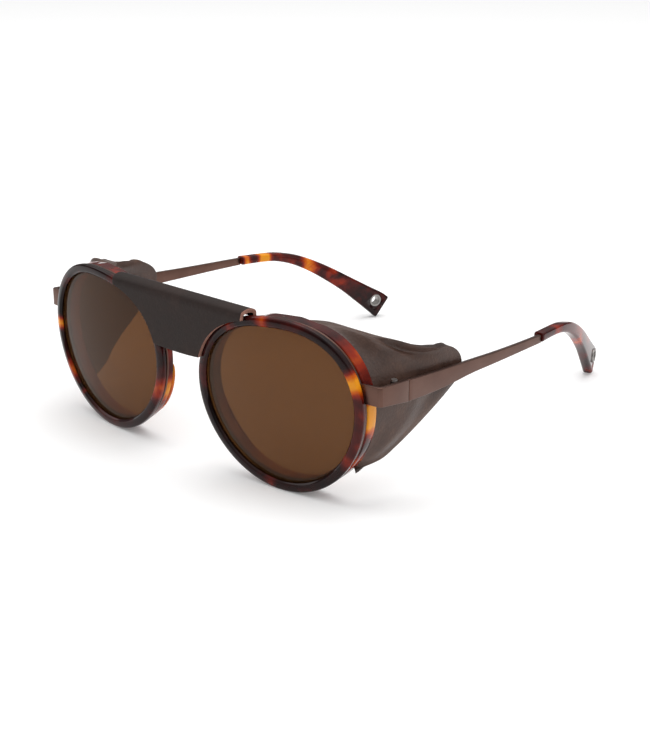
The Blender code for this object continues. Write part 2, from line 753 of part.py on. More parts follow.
def build_tip(side, label):
    rings = [tip_section(step / TIP_STEPS) for step in range(TIP_STEPS + 1)]
    tip = finish("temple_tip_" + label, skin(bmesh.new(), rings), "tortoise_tip", side, moving=True)

    core_steps = 12
    bore_rings = [[point + Vector((0.0, -2.0, 0.0)) for point in core_section(0.0, GAP)]]
    for step in range(core_steps + 1):
        bore_rings.append(core_section(core_share(step / core_steps) + 0.01, GAP))
    bore = skin(bmesh.new(), bore_rings)
    cut(tip, finish("core_bore_" + label, bore, None, side, guide=True))

    reach = EYELET_AXIS.normalized() * (EYELET_LENGTH / 2.0)
    seat = tube_between(bmesh.new(), EYELET_CENTRE - reach * 3.0, EYELET_CENTRE + reach * 3.0,
                        EYELET_RADIUS + GAP, 28)
    cut(tip, finish("eyelet_seat_" + label, seat, None, side, guide=True))
    eyelet = tube_between(bmesh.new(), EYELET_CENTRE - reach, EYELET_CENTRE + reach,
                          EYELET_RADIUS, 28)
    ring = finish("cord_eyelet_" + label, eyelet, "steel", side, moving=True)
    hole = tube_between(bmesh.new(), EYELET_CENTRE - reach * 2.0, EYELET_CENTRE + reach * 2.0,
                        EYELET_HOLE, 28)
    cut(ring, finish("eyelet_bore_" + label, hole, None, side, guide=True))


build_bridge()
build_bridge_shield()
for side, label in ((1, "left"), (-1, "right")):
    build_eye(side, label)
    build_side_shield(side, label)
    build_end_piece(side, label)
    build_hinge(side, label)
    build_temple(side, label)
    build_tip(side, label)
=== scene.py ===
import math

import bmesh
import bpy
from mathutils import Matrix, Vector


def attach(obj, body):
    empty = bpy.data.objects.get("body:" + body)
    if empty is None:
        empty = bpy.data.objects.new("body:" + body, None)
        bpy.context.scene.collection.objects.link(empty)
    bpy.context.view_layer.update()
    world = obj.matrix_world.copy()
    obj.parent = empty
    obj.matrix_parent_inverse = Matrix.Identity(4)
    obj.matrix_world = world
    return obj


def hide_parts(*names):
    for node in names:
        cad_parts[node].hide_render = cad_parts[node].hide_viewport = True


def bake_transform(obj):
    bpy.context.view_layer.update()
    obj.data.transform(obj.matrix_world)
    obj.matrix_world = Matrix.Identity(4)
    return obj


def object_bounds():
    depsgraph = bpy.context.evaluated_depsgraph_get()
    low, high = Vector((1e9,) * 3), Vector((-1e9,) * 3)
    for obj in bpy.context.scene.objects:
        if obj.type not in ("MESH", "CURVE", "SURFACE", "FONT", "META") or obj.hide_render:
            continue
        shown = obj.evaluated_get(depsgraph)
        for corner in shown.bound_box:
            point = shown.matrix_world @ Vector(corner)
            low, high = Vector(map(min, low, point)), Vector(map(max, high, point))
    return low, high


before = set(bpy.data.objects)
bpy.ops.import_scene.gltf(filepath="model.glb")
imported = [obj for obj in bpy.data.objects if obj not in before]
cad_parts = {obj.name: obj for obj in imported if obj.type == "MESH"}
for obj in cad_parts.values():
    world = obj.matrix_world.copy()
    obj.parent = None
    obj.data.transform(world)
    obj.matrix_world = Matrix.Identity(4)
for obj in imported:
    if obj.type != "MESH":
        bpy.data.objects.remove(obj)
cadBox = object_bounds()
print("frame loaded")

# Shapes are worked out in millimetres: x from the middle towards the wearer's left, y the
# depth behind the foremost leather face, z the height above the table. finishPiece() moves
# a shape into the frame's metres, and mirrors it for the right side.
millimetre = 0.001
frontPlane = cadBox[0][1] / millimetre
sides = ((1, "left"), (-1, "right"))


def linear(hexText, alpha=1.0):
    channels = [int(hexText[i:i + 2], 16) / 255.0 for i in (1, 3, 5)]
    curved = [c / 12.92 if c <= 0.04045 else ((c + 0.055) / 1.055) ** 2.4 for c in channels]
    return (*curved, alpha)


def smoothStep(value, low=0.0, high=1.0):
    value = min(1.0, max(0.0, (value - low) / (high - low)))
    return value * value * (3.0 - 2.0 * value)


# 1 at the centre, falling smoothly to 0 at width away from it
def bump(value, centre, width):
    return smoothStep(1.0 - abs(value - centre) / width)


# Catmull-Rom through rows of numbers, read at a value of their first column
def smoothCurve(knots, value):
    rows = list(knots) if knots[0][0] < knots[-1][0] else list(reversed(knots))
    value = min(max(value, rows[0][0]), rows[-1][0])
    i = 0
    while i < len(rows) - 2 and rows[i + 1][0] < value:
        i += 1
    before, start, end = rows[max(i - 1, 0)], rows[i], rows[i + 1]
    after = rows[min(i + 2, len(rows) - 1)]
    span = end[0] - start[0]
    t = (value - start[0]) / span
    result = []
    for c in range(1, len(start)):
        slopeIn = (end[c] - before[c]) / (end[0] - before[0]) * span
        slopeOut = (after[c] - start[c]) / (after[0] - start[0]) * span
        result.append((2 * t ** 3 - 3 * t ** 2 + 1) * start[c] + (t ** 3 - 2 * t ** 2 + t) * slopeIn
                      + (3 * t ** 2 - 2 * t ** 3) * end[c] + (t ** 3 - t ** 2) * slopeOut)
    return result


# adds a shader node; an input is a number, a colour or another node's (node, output)
def node(tree, kind, settings=None, inputs=None):
    made = tree.nodes.new("ShaderNode" + kind)
    for key, value in (settings or {}).items():
        if key == "stops":
            ramp = made.color_ramp
            while len(ramp.elements) < len(value):
                ramp.elements.new(0.5)
            for element, (position, colour) in zip(ramp.elements, value):
                element.position = position
                element.color = linear(colour) if isinstance(colour, str) else (colour,) * 3 + (1,)
        else:
            setattr(made, key, value)
    for key, value in (inputs or {}).items():
        if isinstance(value, tuple) and isinstance(value[0], bpy.types.Node):
            tree.links.new(value[0].outputs[value[1]], made.inputs[key])
        else:
            made.inputs[key].default_value = value
    return made


def newMaterial(name):
    material = bpy.data.materials.new(name)
    material.use_nodes = True
    tree = material.node_tree
    tree.nodes.clear()
    return material, tree


def output(tree, shader):
    node(tree, "OutputMaterial", None, {"Surface": (shader, 0)})


# Cellulose acetate block, cut and tumbled to a polish: amber clouds in a nearly black brown
def tortoiseAcetate(name, look):
    material, tree = newMaterial(name)
    where = node(tree, "TexCoord")
    # the painted attribute adds amber spots, painted glints and painted light on the rear rims'
    # inner walls
    amberAndLightAttribute = node(tree, "Attribute", {"attribute_name": "amber"})
    moved = node(tree, "Mapping", None, {"Vector": (where, "Object"), "Location": look["shift"]})
    clouds = node(tree, "TexNoise", None, {"Vector": (moved, 0),
                                           "Scale": 1000.0 / look["cloudSize"],
                                           "Detail": 3.0, "Roughness": 0.55, "Distortion": 0.6})
    wisps = node(tree, "TexNoise", None, {"Vector": (moved, 0), "Scale": 1000.0 / look["wispSize"],
                                          "Detail": 2.0, "Roughness": 0.5, "Distortion": 0.3})
    fine = node(tree, "Math", {"operation": "MULTIPLY_ADD"},
                {0: (wisps, "Fac"), 1: look["wispStrength"], 2: -0.5 * look["wispStrength"]})
    cloud = node(tree, "Math", {"operation": "MULTIPLY_ADD"},
                 {0: (clouds, "Fac"), 1: look["cloudStrength"], 2: look["cloudOffset"]})
    both = node(tree, "Math", {"operation": "ADD"}, {0: (cloud, 0), 1: (fine, 0)})
    lit = node(tree, "Math", {"operation": "ADD", "use_clamp": True},
               {0: (both, 0), 1: (amberAndLightAttribute, "Fac")})
    colour = node(tree, "ValToRGB", {"stops": look["stops"]}, {"Fac": (lit, 0)})
    shader = node(tree, "BsdfPrincipled", None,
                  {"Base Color": (colour, 0), "Roughness": 0.09, "IOR": 1.48,
                   "Specular IOR Level": 0.2})
    output(tree, shader)
    return material


acetateStops = [(0.0, "#0e0607"), (0.22, "#220b0a"), (0.42, "#4a110d"), (0.62, "#86240d"),
                (0.8, "#c0560d"), (1.0, "#e0901b")]
darkAcetate = tortoiseAcetate("tortoiseAcetateFront", {
    "shift": (0.0, 0.0, 0.0), "cloudSize": 16.0, "wispSize": 3.5, "wispStrength": 0.25,
    "cloudStrength": 1.2, "cloudOffset": -0.37, "stops": acetateStops})
rearAcetate = tortoiseAcetate("tortoiseAcetateRear", {
    "shift": (0.03, 0.01, 0.0), "cloudSize": 15.0, "wispSize": 4.0, "wispStrength": 0.25,
    "cloudStrength": 1.2, "cloudOffset": -0.22, "stops": acetateStops})
tipAcetate = tortoiseAcetate("tortoiseAcetateTips", {
    "shift": (0.0, 0.02, 0.05), "cloudSize": 14.0, "wispSize": 3.0, "wispStrength": 0.3,
    "cloudStrength": 1.2, "cloudOffset": -0.30, "stops": acetateStops})


# Stainless strip, brushed and then plated: a satin face with a faint grain along it
def platedMetal(name, colour, worn, roughness, grainSize):
    material, tree = newMaterial(name)
    where = node(tree, "TexCoord")
    along = node(tree, "Mapping", None, {"Vector": (where, "Object"), "Scale": (1.0, 0.06, 1.0)})
    grain = node(tree, "TexNoise", None, {"Vector": (along, 0), "Scale": 1000.0 / grainSize,
                                          "Detail": 2.0})
    patches = node(tree, "TexNoise", None, {"Vector": (where, "Object"), "Scale": 1000.0 / 11.0,
                                            "Detail": 3.0})
    tone = node(tree, "ValToRGB", {"stops": [(0.3, colour), (0.75, worn)]},
                {"Fac": (patches, "Fac")})
    gloss = node(tree, "MapRange", None, {"Value": (grain, "Fac"), "To Min": roughness - 0.06,
                                          "To Max": roughness + 0.08})
    relief = node(tree, "Bump", None, {"Height": (grain, "Fac"), "Strength": 0.12,
                                       "Distance": 0.00003})
    shader = node(tree, "BsdfPrincipled", None,
                  {"Base Color": (tone, 0), "Metallic": 1.0, "Roughness": (gloss, 0),
                   "Normal": (relief, 0)})
    output(tree, shader)
    return material


bronze = platedMetal("brushedBronzePlating", "#5a423a", "#694f46", 0.34, 0.25)
darkBronze = platedMetal("darkBronzePlating", "#55403a", "#604a43", 0.4, 0.25)
nickel = platedMetal("satinNickel", "#8d8986", "#9d9996", 0.34, 0.25)


# Chrome-tanned hide, rolled smooth and waxed: fine pores, creases and a soft sheen
def sheenLeather(name, look):
    material, tree = newMaterial(name)
    where = node(tree, "TexCoord")
    patches = node(tree, "TexNoise", None, {"Vector": (where, "Object"), "Scale": 1000.0 / 11.0,
                                            "Detail": 4.0, "Roughness": 0.6})
    pebbles = node(tree, "TexVoronoi", {"feature": "F1"},
                   {"Vector": (where, "Object"), "Scale": 1000.0 / look["grainSize"],
                    "Randomness": 1.0})
    creases = node(tree, "TexNoise", None, {"Vector": (where, "Object"), "Scale": 1000.0 / 1.6,
                                            "Detail": 5.0, "Roughness": 0.65, "Distortion": 0.4})
    shade = node(tree, "Math", {"operation": "MULTIPLY_ADD"},
                 {0: (creases, "Fac"), 1: 0.35, 2: -0.175})
    blend = node(tree, "Math", {"operation": "ADD"}, {0: (patches, "Fac"), 1: (shade, 0)})
    tone = node(tree, "ValToRGB", {"stops": [(0.3, look["dark"]), (0.55, look["mid"]),
                                             (0.8, look["light"])]}, {"Fac": (blend, 0)})
    gloss = node(tree, "MapRange", None, {"Value": (patches, "Fac"), "From Min": 0.3,
                                          "From Max": 0.7, "To Min": look["gloss"],
                                          "To Max": look["gloss"] + 0.14})
    height = node(tree, "Math", {"operation": "MULTIPLY_ADD"},
                  {0: (creases, "Fac"), 1: 0.8, 2: (pebbles, "Distance")})
    relief = node(tree, "Bump", None, {"Height": (height, 0), "Strength": look["relief"],
                                       "Distance": 0.00012})
    shader = node(tree, "BsdfPrincipled", None,
                  {"Base Color": (tone, 0), "Roughness": (gloss, 0), "Normal": (relief, 0),
                   "Specular IOR Level": look["shine"]})
    output(tree, shader)
    return material


bridgeLeather = sheenLeather("waxedBridgeLeather", {
    "grainSize": 0.55, "dark": "#1f1613", "mid": "#281d1a", "light": "#332622",
    "gloss": 0.46, "relief": 0.25, "shine": 0.18})
sideLeather = sheenLeather("waxedSideLeather", {
    "grainSize": 0.6, "dark": "#3a271f", "mid": "#4b342a", "light": "#614638",
    "gloss": 0.36, "relief": 0.45, "shine": 0.42})


# The cut edge of the hide: matt packed fibres, paler than the dyed face
def rawEdge(name, colour, light):
    material, tree = newMaterial(name)
    where = node(tree, "TexCoord")
    fibres = node(tree, "TexNoise", None, {"Vector": (where, "Object"), "Scale": 1000.0 / 0.5,
                                           "Detail": 4.0})
    tone = node(tree, "ValToRGB", {"stops": [(0.35, colour), (0.7, light)]},
                {"Fac": (fibres, "Fac")})
    relief = node(tree, "Bump", None, {"Height": (fibres, "Fac"), "Strength": 0.4,
                                       "Distance": 0.0001})
    shader = node(tree, "BsdfPrincipled", None, {"Base Color": (tone, 0), "Roughness": 0.8,
                                                 "Normal": (relief, 0)})
    output(tree, shader)
    return material


paleEdge = rawEdge("rawCutLeatherEdge", "#8a6052", "#a87a6a")
darkEdge = rawEdge("inkedLeatherEdge", "#2a1e1a", "#3a2b26")


# Brown polarising mineral glass: it lets a little warm light through and mirrors the rest
def tintedLens():
    material, tree = newMaterial("tintedMineralLens")
    clear = node(tree, "BsdfTransparent", None, {"Color": linear("#b3916c")})
    glass = node(tree, "BsdfPrincipled", None, {"Base Color": linear("#54381f"), "Roughness": 0.03,
                                                "IOR": 1.4})
    mixed = node(tree, "MixShader", None, {"Fac": 0.42, 1: (clear, 0), 2: (glass, 0)})
    output(tree, mixed)
    return material


lensGlass = tintedLens()
print("materials made")


def finishPiece(name, bm, materials, body, side=1, replaces=(), solid=True,
                subdivisions=0, sharpAngle=35.0):
    for vertex in bm.verts:
        vertex.co.x *= side
    if solid:
        bmesh.ops.recalc_face_normals(bm, faces=bm.faces)
        if bm.calc_volume(signed=True) < 0.0:
            bmesh.ops.reverse_faces(bm, faces=bm.faces)
    elif side < 0:
        bmesh.ops.reverse_faces(bm, faces=bm.faces)
    for vertex in bm.verts:
        vertex.co.y += frontPlane
        vertex.co *= millimetre
    mesh = bpy.data.meshes.new(name)
    bm.to_mesh(mesh)
    bm.free()
    for material in materials:
        mesh.materials.append(material)
    mesh.shade_smooth()
    if not subdivisions:
        mesh.set_sharp_from_angle(angle=math.radians(sharpAngle))
    piece = bpy.data.objects.new(name, mesh)
    bpy.context.scene.collection.objects.link(piece)
    if subdivisions:
        smooth = piece.modifiers.new("smooth", "SUBSURF")
        smooth.levels = smooth.render_levels = subdivisions
    if body:
        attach(piece, body)
    if replaces:
        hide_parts(*replaces)
    return piece


def applyModifiers(piece):
    graph = bpy.context.evaluated_depsgraph_get()
    result = bpy.data.meshes.new_from_object(piece.evaluated_get(graph))
    piece.modifiers.clear()
    before = piece.data
    piece.data = result
    bpy.data.meshes.remove(before)


# bevels every edge sharper than the angle
def roundEdges(bm, width, segments=3, angle=30.0):
    bm.normal_update()
    sharp = [edge for edge in bm.edges
             if len(edge.link_faces) == 2 and edge.calc_face_angle() > math.radians(angle)]
    bmesh.ops.bevel(bm, geom=sharp, offset=width, affect="EDGES", segments=segments, profile=0.5,
                    material=-1, clamp_overlap=True)


# turns a section of (radius, depth) points round the eye's axis
def spinSection(points, steps, closed=True):
    bm = bmesh.new()
    verts = [bm.verts.new((radius, 0.0, depth)) for radius, depth in points]
    edges = [bm.edges.new(pair) for pair in zip(verts, verts[1:])]
    if closed:
        edges.append(bm.edges.new((verts[-1], verts[0])))
    bmesh.ops.spin(bm, geom=verts + edges, cent=(0, 0, 0), axis=(0, 0, 1), dvec=(0, 0, 0),
                   angle=2.0 * math.pi, steps=steps, use_merge=True)
    bmesh.ops.remove_doubles(bm, verts=bm.verts, dist=0.0005)
    return bm


# extrudes a first face through the given sections, each a list of points in the same order
def sweepSections(sections):
    bm = bmesh.new()
    face = bm.faces.new([bm.verts.new(point) for point in sections[0]])
    for index, section in enumerate(sections[1:]):
        before = face
        made = bmesh.ops.extrude_face_region(bm, geom=[before])["geom"]
        face = [item for item in made if isinstance(item, bmesh.types.BMFace)][0]
        if index and before.is_valid:
            bmesh.ops.delete(bm, geom=[before], context="FACES_ONLY")
        for vertex, point in zip(face.verts, section):
            vertex.co = point
    return bm


# stores how amber the acetate is at each point, with painted glints and painted light added where
# the spots give them, for the shader
def paintAmberAndLight(piece, amountAt):
    layer = piece.data.attributes.new("amber", "FLOAT", "POINT")
    for vertex in piece.data.vertices:
        x, y, z = vertex.co / millimetre
        layer.data[vertex.index].value = amountAt(x, y - frontPlane, z)


eye = {
    "centre": Vector((36.55, 1.1, 26.09)),  # middle of a rim's outline
    "wrap": 6.3, "tilt": 1.97,  # degrees, how far the front curves and leans
    "baseCurve": 112.0,
    "radius": 27.09,
    # the outline's departures from a circle: waves round the rim, cosine and sine parts
    "waves": ((1, 0.12, 0.0), (2, 1.47, 0.04), (3, -0.24, 0.73), (4, -0.12, -0.06)),
    "steps": 180,
}
turnedRadius = 40.0  # of a ring before it is bent to the outline; any radius would do


def outlineRadius(angle):
    return eye["radius"] + sum(inward * math.cos(turns * angle) + upward * math.sin(turns * angle)
                               for turns, inward, upward in eye["waves"])


def eyePoint(across, up, depth):
    along = depth + 0.5 * (across * across + up * up) / eye["baseCurve"]
    wrap, tilt = math.radians(eye["wrap"]), math.radians(eye["tilt"])
    x = across * math.cos(wrap) - along * math.sin(wrap)
    y = across * math.sin(wrap) + along * math.cos(wrap)
    z = up * math.cos(tilt) + y * math.sin(tilt)
    return eye["centre"] + Vector((x, -up * math.sin(tilt) + y * math.cos(tilt), z))


# a point beside the rim's outline: offset outward from it, depth behind its front face
def rimPoint(degrees, offset, depth):
    angle = math.radians(degrees)
    radius = outlineRadius(angle) + offset
    return eyePoint(radius * math.cos(angle), radius * math.sin(angle), depth)


def rimDegrees(x, z):
    return math.degrees(math.atan2(z - eye["centre"].z, abs(x) - eye["centre"].x))


# turns a ring of a round radius, then bends it to the rim's outline and curve
def ring(setting):
    bm = spinSection([(turnedRadius + offset, depth) for offset, depth in setting["section"]],
                     eye["steps"])
    for vertex in bm.verts:
        degrees = math.degrees(math.atan2(vertex.co.y, vertex.co.x))
        offset = math.hypot(vertex.co.x, vertex.co.y) - turnedRadius
        vertex.co = rimPoint(degrees, offset, vertex.co.z)
    roundEdges(bm, setting["rounding"], 2)
    return bm


frontRim = {
    "section": ((-0.28, 0.0), (0.0, 0.28), (0.0, 1.5), (-0.9, 1.5), (-0.9, 1.8), (-1.65, 1.8),
                (-1.65, 1.15), (-2.83, 1.15), (-2.83, 0.75), (-2.2, 0.08), (-1.3, -0.06)),
    "rounding": 0.12,
    # degrees round the rim, half width in degrees, strength; the spot at -98 degrees on the left
    # and the one at -52 on the right are painted glints
    "amberLeft": ((24.0, 14.0, 0.75), (6.0, 10.0, 0.25), (100.0, 8.0, 0.45), (128.0, 12.0, 0.25),
                  (-28.0, 9.0, 0.30), (-98.0, 7.0, 0.30), (175.0, 25.0, 0.12)),
    "amberRight": ((3.0, 8.0, 0.75), (-32.0, 16.0, 0.35), (-52.0, 5.0, 0.45), (196.0, 14.0, 0.35),
                   (60.0, 14.0, 0.10)),
}
eyewire = {"section": ((-0.35, 2.1), (-0.35, 2.7), (-1.65, 2.7), (-1.65, 2.1)), "rounding": 0.1}
rearRim = {
    "front": 3.0, "back": 7.0, "width": 3.3, "lip": 1.65, "seat": 3.5,
    "rounding": 0.14,
    # the outer edge steps in on top and by the nose, most of all at a small notch
    "edge": 0.1, "stepIn": 1.3, "stepMiddle": 160.0, "stepReach": 115.0, "stepBlend": 45.0,
    "notch": 0.8, "notchAngle": 163.0, "notchHalfAngle": 24.0,
    "tabHeight": 0.65, "tabHalfAngle": 22.0, "tabBlend": 12.0,
    "bevel": 0.35, "noseBevel": 1.3, "noseAngle": 185.0, "noseSpread": 62.0, "frontChamfer": 0.25,
    "leastWall": 0.1, "leastBack": 0.15,
    "paintedWallLight": 0.5, "wallStart": 2.2, "wallEnd": 3.0,  # painted light on the thin inner wall
    "amberLeft": ((2.0, 15.0, 0.85), (-12.0, 8.0, 0.2), (-30.0, 12.0, 0.45), (36.0, 18.0, 0.22),
                  (196.0, 14.0, 0.45)),
    "amberRight": ((0.0, 20.0, 0.50), (198.0, 16.0, 0.60), (-40.0, 14.0, 0.35)),
}


# how far apart two angles are, the short way round
def wrapped(degrees, centre):
    return abs((degrees - centre + 180.0) % 360.0 - 180.0)


def patches(spots, x, z):
    degrees = rimDegrees(x, z)
    return sum(strength * smoothStep(1.0 - wrapped(degrees, centre) / half)
               for centre, half, strength in spots)


# painted light: the thin inner wall is painted more amber than the rest of the rear ring
def innerWallPaintedLight(x, z):
    degrees = rimDegrees(x, z)
    reach = math.hypot(abs(x) - eye["centre"].x, z - eye["centre"].z)
    inside = outlineRadius(math.radians(degrees)) - reach
    return rearRim["paintedWallLight"] * smoothStep(inside, rearRim["wallStart"], rearRim["wallEnd"])


# how far the rear rim's outer edge stays inside the outline
def rearEdge(degrees):
    share = smoothStep((rearRim["stepReach"] - wrapped(degrees, rearRim["stepMiddle"]))
                       / rearRim["stepBlend"])
    notch = bump(degrees % 360.0, rearRim["notchAngle"], rearRim["notchHalfAngle"])
    return rearRim["edge"] + rearRim["stepIn"] * share + rearRim["notch"] * notch


def rearBevel(degrees):
    share = smoothStep(1.0 - wrapped(degrees, rearRim["noseAngle"]) / rearRim["noseSpread"])
    return rearRim["bevel"] + rearRim["noseBevel"] * share


# the rear ring: a raised tab on top, and a bevel where the nose pad is bonded
def rearRing():
    width, front, back, lip = rearRim["width"], rearRim["front"], rearRim["back"], rearRim["lip"]
    chamfer, seat = rearRim["frontChamfer"], rearRim["seat"]
    # each corner of the section is turned at its own radius, so that it can be told apart
    bm = spinSection([(turnedRadius + corner, 0.0) for corner in range(8)], eye["steps"])
    for vertex in bm.verts:
        degrees = math.degrees(math.atan2(vertex.co.y, vertex.co.x))
        tab = smoothStep((rearRim["tabHalfAngle"] - wrapped(degrees, 90.0)) / rearRim["tabBlend"])
        edge = -rearEdge(degrees) + rearRim["tabHeight"] * tab
        bevel = min(rearBevel(degrees), width + edge - rearRim["leastBack"])
        chamferEnd = max(edge - chamfer, rearRim["leastWall"] - lip)
        section = ((chamferEnd, front), (edge, front + chamfer), (edge, back - bevel),
                   (edge - bevel, back), (-width, back), (-width, seat), (-lip, seat),
                   (-lip, front))
        corner = round(math.hypot(vertex.co.x, vertex.co.y) - turnedRadius)
        offset, depth = section[corner]
        vertex.co = rimPoint(degrees, offset, depth)
    roundEdges(bm, rearRim["rounding"], 2)
    return bm


lens = {"inset": 1.95, "front": 1.4, "thickness": 1.8, "rows": 14}


def lensShape():
    rows = lens["rows"]
    front = [(turnedRadius * step / rows, lens["front"]) for step in range(rows + 1)]
    back = [(radius, lens["front"] + lens["thickness"]) for radius, _ in reversed(front)]
    bm = spinSection(front + back, eye["steps"], closed=False)
    for vertex in bm.verts:
        angle = math.atan2(vertex.co.y, vertex.co.x)
        share = math.hypot(vertex.co.x, vertex.co.y) / turnedRadius
        radius = share * (outlineRadius(angle) - lens["inset"])
        vertex.co = eyePoint(radius * math.cos(angle), radius * math.sin(angle), vertex.co.z)
    return bm


nosePad = {
    "middle": 209.0, "halfAngle": 28.0, "height": 1.1,  # on the bevel, degrees round the rim
    "bedDepth": 0.2,  # how deep its back sits in the rim
    "innerOffset": -3.6, "innerBehind": 0.1, "outerOffset": 0.15,
}


def nosePadShape():
    bm = bmesh.new()
    bmesh.ops.create_uvsphere(bm, u_segments=32, v_segments=24, radius=1.0)
    for vertex in bm.verts:
        lengthwise, across, high = vertex.co.z, vertex.co.x, vertex.co.y
        degrees = nosePad["middle"] + nosePad["halfAngle"] * lengthwise
        bevel = rearBevel(degrees)
        inner = Vector((nosePad["innerOffset"], rearRim["back"] + nosePad["innerBehind"]))
        outer = Vector((nosePad["outerOffset"] - rearEdge(degrees) - 0.2 * bevel,
                        rearRim["back"] - 0.8 * bevel + nosePad["outerOffset"]))
        chord = outer - inner
        outward = Vector((-chord.y, chord.x)).normalized()
        spot = inner + chord * (0.5 + 0.5 * across)
        spot += outward * high * (nosePad["height"] if high > 0.0 else nosePad["bedDepth"])
        vertex.co = rimPoint(degrees, spot.x, spot.y)
    return bm


for side, label in sides:
    amber = "amberLeft" if side > 0 else "amberRight"
    piece = finishPiece("frontRimRing_" + label, ring(frontRim),
                        [darkAcetate], "front", side, ["front_rim_" + label])
    paintAmberAndLight(piece, lambda x, y, z: patches(frontRim[amber], x, z))
    finishPiece("eyewireRing_" + label, ring(eyewire),
                [bronze], "front", side, ["eyewire_" + label])
    piece = finishPiece("rearRimRing_" + label, rearRing(), [rearAcetate], "front", side,
                        ["rear_rim_" + label])
    # the rear ring's amber spots, with painted light on its inner wall
    paintAmberAndLight(piece, lambda x, y, z: max(patches(rearRim[amber], x, z), innerWallPaintedLight(x, z)))
    finishPiece("lensGlass_" + label, lensShape(), [lensGlass], "front", side,
                ["lens_" + label])
    piece = finishPiece("nosePadBean_" + label, nosePadShape(), [rearAcetate], "front", side,
                        ["nose_pad_" + label])
    paintAmberAndLight(piece, lambda x, y, z: 0.25 + 0.35 * bump(z, 24.0, 10.0))
print("eyes made")


bridgeShield = {
    "thickness": 1.2,
    "lowAngle": 163.0, "topAngle": 113.0, "overlap": 0.8,
    "foldStart": 50.1, "foldDepth": 6.0, "foldHeight": 1.7, "foldTurn": 180.0, "flap": 1.0,
    "flatShare": 0.6, "bendShare": 0.92,  # where the front face ends, and the bend
    "easeTurn": 0.6, "sideSwell": 0.5, "sag": 0.35,
    "across": 96, "along": 60,
}


# (half width, y, z) from the lower edge (0) up the front and over the fold (1)
def bridgeLine(part):
    setting = bridgeShield
    flat, bend = setting["flatShare"], setting["bendShare"]
    share = min(1.0, part / flat)
    degrees = setting["lowAngle"] + (setting["topAngle"] - setting["lowAngle"]) * share
    edge = rimPoint(degrees, -setting["overlap"], 0.0)
    if part < flat:
        return edge.x, 0.0, edge.z
    turn = math.radians(setting["foldTurn"]) * min(1.0, (part - flat) / (bend - flat))
    y = setting["foldDepth"] / 2.0 * (1.0 - math.cos(turn))
    z = setting["foldStart"] + setting["foldHeight"] * math.sin(turn)
    z -= setting["flap"] * max(0.0, (part - bend) / (1.0 - bend))
    rise = smoothStep(turn / setting["easeTurn"])
    low = edge.z + z - setting["foldStart"]
    halfWidth = edge.x + setting["sideSwell"] * math.sin(turn / 2.0)
    return halfWidth, y, z * rise + low * (1.0 - rise)


# a flat grid whose points are moved to pointAt(u, v), with u and v from 0 to 1
def gridSheet(columns, rows, pointAt):
    bm = bmesh.new()
    bmesh.ops.create_grid(bm, x_segments=columns, y_segments=rows, size=0.5)
    for vertex in bm.verts:
        vertex.co = pointAt(vertex.co.x + 0.5, vertex.co.y + 0.5)
    return bm


softEdge = 0.18  # worn radius of a cut leather edge


# turns the sheet's face outward at its middle and gives it a wall behind that face
def thicken(piece, thickness, outward):
    mesh = piece.data
    if mesh.polygons[len(mesh.polygons) // 2].normal.dot(outward) < 0.0:
        mesh.flip_normals()
    wall = piece.modifiers.new("wall", "SOLIDIFY")
    wall.thickness = thickness * millimetre
    wall.offset = -1.0
    wall.use_even_offset = True
    wall.material_offset_rim = 1  # the cut edge has the piece's second material
    soft = piece.modifiers.new("softEdge", "BEVEL")
    soft.width = softEdge * millimetre
    soft.segments = 2
    soft.limit_method = "ANGLE"
    soft.angle_limit = math.radians(50.0)


def bridgePoint(u, v):
    halfWidth, y, z = bridgeLine(v)
    x = halfWidth * (2.0 * u - 1.0)
    middle = 1.0 - (2.0 * u - 1.0) ** 2
    sag = bridgeShield["sag"] * middle * (1.0 - smoothStep(v, 0.0, 0.5))
    return Vector((x, y, z - sag))


shield = finishPiece("bridgeLeather", gridSheet(bridgeShield["across"], bridgeShield["along"],
                                                bridgePoint),
                     [bridgeLeather, paleEdge], "front", 1, ["bridge_shield"],
                     solid=False, sharpAngle=180.0)
thicken(shield, bridgeShield["thickness"], Vector((0.0, -1.0, 0.0)))

sideShield = {
    "thickness": 1.2, "inset": 0.6, "frontDepth": 7.25, "swell": 0.10,
    "columns": 150, "rows": 60,
    # height of a fold, its place and half width from the rim to the edge, and round the rim
    "folds": ((1.3, 0.34, 0.32, 50.0, 26.0), (-1.4, 0.70, 0.24, 36.0, 22.0),
              (0.9, 0.42, 0.40, -18.0, 18.0), (-0.9, 0.70, 0.25, 0.0, 16.0)),
    # a place beside the hinge, and reaches before it and behind it
    "bendPlace": (64.0, 16.6, 30.0), "bendBefore": 2.0, "bendBehind": 3.5,
    "edge": (
        # degrees round the rim, then the free edge's x, y and z
        (84.0, 39.4, 12.0, 49.2),
        (76.0, 44.0, 16.3, 48.7),
        (66.0, 50.0, 19.1, 47.5),
        (55.0, 57.3, 22.1, 46.1),
        (46.0, 61.4, 25.9, 44.7),
        (38.0, 64.0, 31.9, 42.1),
        (30.0, 65.0, 38.1, 40.5),
        (23.0, 64.7, 43.9, 39.4),
        (16.0, 64.8, 48.1, 36.8),
        (9.0, 65.0, 49.7, 33.4),
        (2.0, 65.0, 48.5, 29.4),
        (-5.0, 64.4, 43.9, 25.6),
        (-12.0, 63.6, 37.9, 21.6),
        (-19.0, 62.5, 30.9, 17.2),
        (-26.0, 61.1, 25.6, 13.6),
        (-33.0, 59.3, 21.1, 10.6),
        (-40.0, 57.0, 13.5, 9.3),
    ),
}


